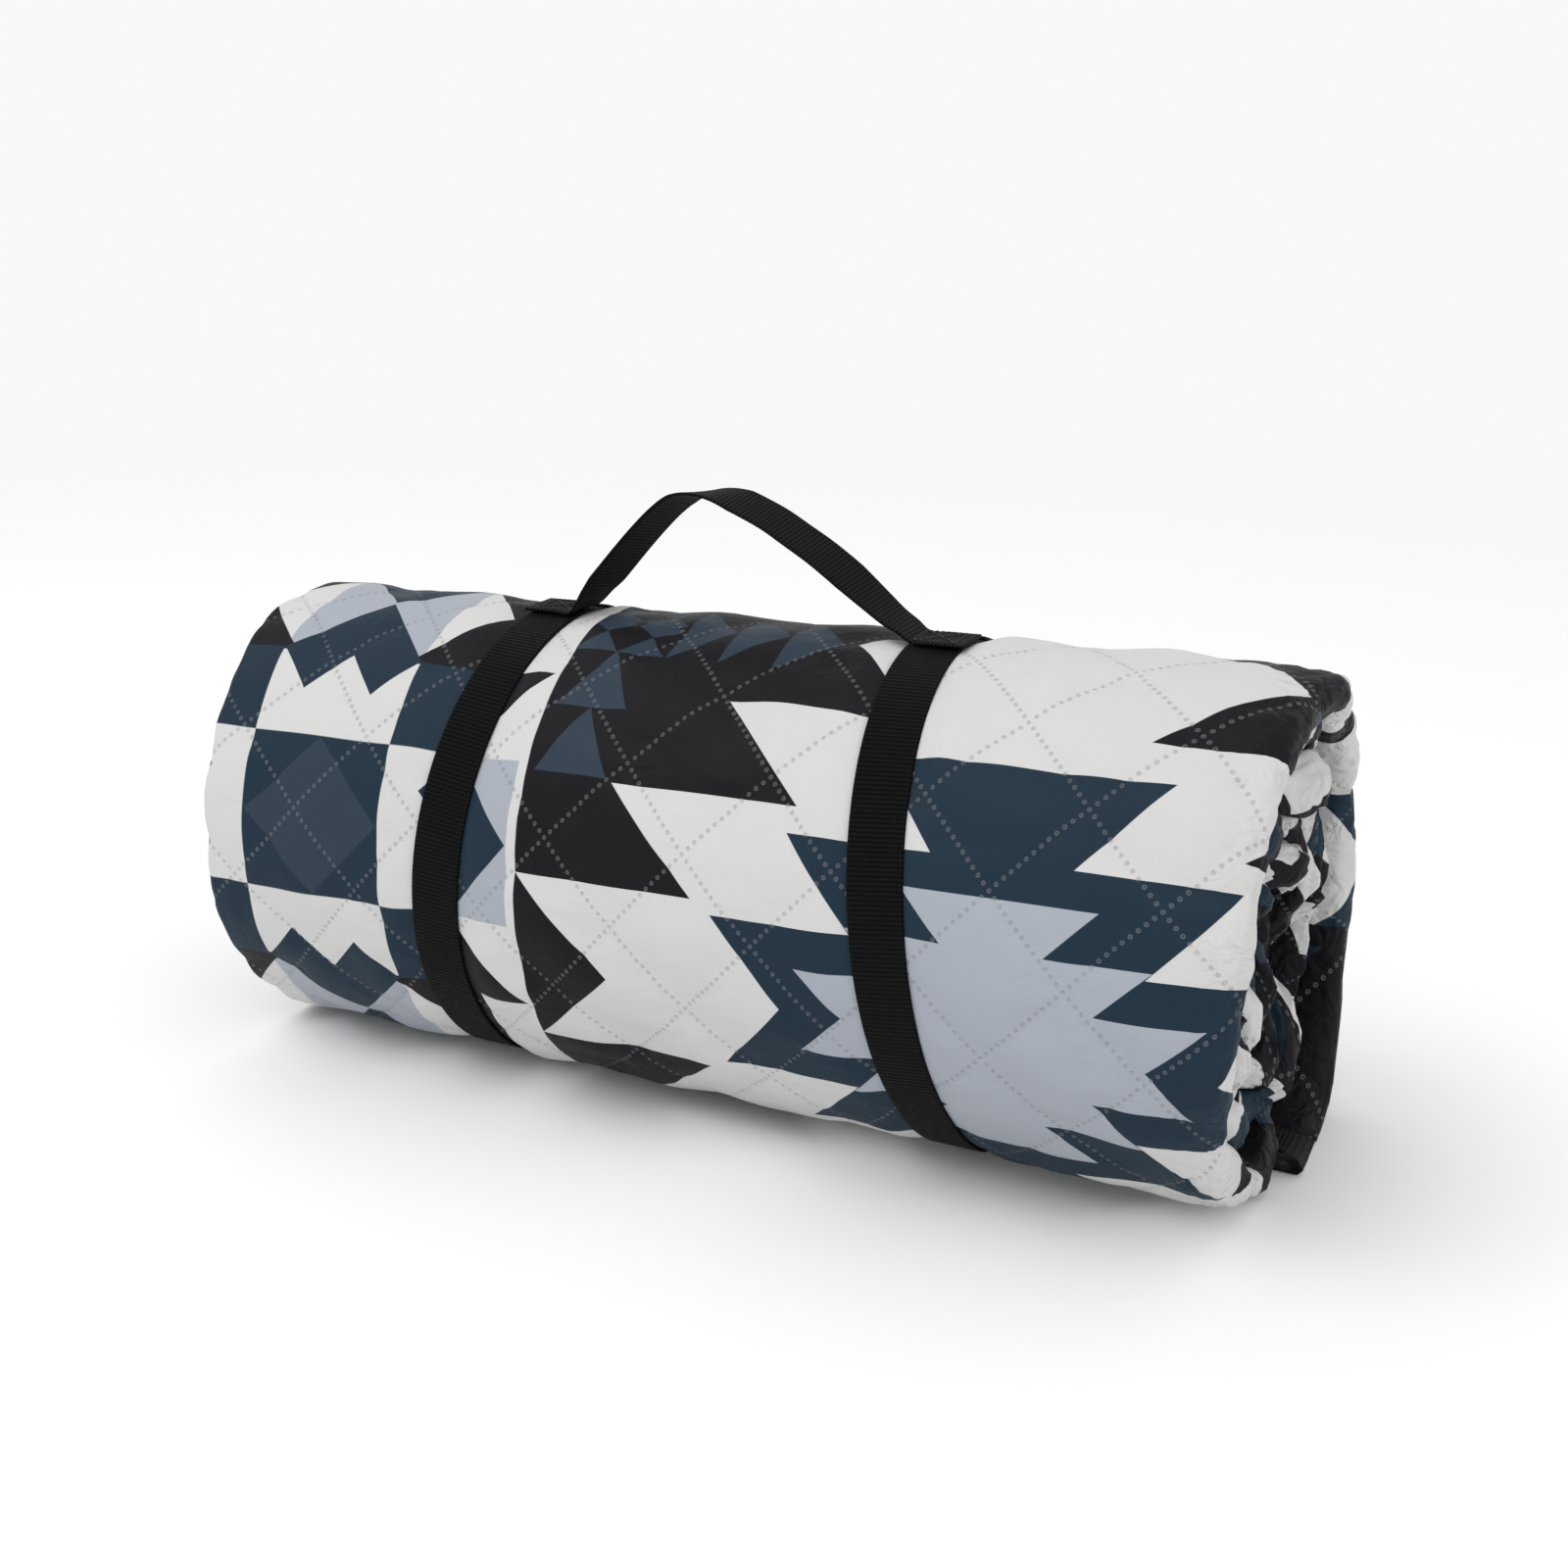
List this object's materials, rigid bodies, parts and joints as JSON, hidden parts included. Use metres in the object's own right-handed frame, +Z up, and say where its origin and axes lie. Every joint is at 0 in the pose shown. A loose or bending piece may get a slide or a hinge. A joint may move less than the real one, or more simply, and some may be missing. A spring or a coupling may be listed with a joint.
{
  "type": "camp blanket",
  "caption": "Quilted camp blanket folded lengthwise, rolled into an oval bundle and held by two webbing straps with a sewn webbing carry handle.",
  "frame": {"origin": "on the ground, under the middle of the roll's axis; the roll lies on its two straps", "axes": "+X along the roll to its folded end, +Y to the back where the straps close, +Z up through the carry handle"},
  "size_m": [0.5, 0.2038, 0.2911],
  "materials": {
    "print": "satin",
    "wadding": "matte",
    "backing": "satin",
    "binding": "matte",
    "webbing": "matte",
    "loop": "matte",
    "hook": "matte",
    "thread": "satin"
  },
  "bodies": {
    "roll": {"printed_face": "print", "wadding": "wadding", "waterproof_backing": "backing", "side_binding_first": "binding", "side_binding_second": "binding", "outer_hem_binding": "binding", "inner_hem_binding": "binding"},
    "harness": {"strap_left": "webbing", "strap_right": "webbing", "loop_patch_left": "loop", "loop_patch_right": "loop", "handle_end_left": "webbing", "handle_end_right": "webbing", "handle_stitching_left": "thread", "handle_stitching_right": "thread"},
    "handle": {"carry_handle": "webbing"},
    "tail_left": {"strap_tail_left": "webbing", "hook_patch_left": "hook"},
    "tail_right": {"strap_tail_right": "webbing", "hook_patch_right": "hook"}
  },
  "joints": [
    {"name": "harness_slide", "type": "slide", "parent": "roll", "child": "harness", "axis": [1, 0, 0], "range_m": [-0.39, 0.39]},
    {"name": "handle_swing", "type": "hinge", "parent": "harness", "child": "handle", "pos_m": [-0.005, 0, 0.24954], "axis": [1, 0, 0], "range_deg": [-100, 100]},
    {"name": "tail_left_peel", "type": "hinge", "parent": "harness", "child": "tail_left", "pos_m": [-0.104, 0.06004, 0.22011], "axis": [1, 0, 0], "range_deg": [0, 100]},
    {"name": "tail_right_peel", "type": "hinge", "parent": "harness", "child": "tail_right", "pos_m": [0.093, 0.06004, 0.22011], "axis": [1, 0, 0], "range_deg": [0, 100]}
  ]
}
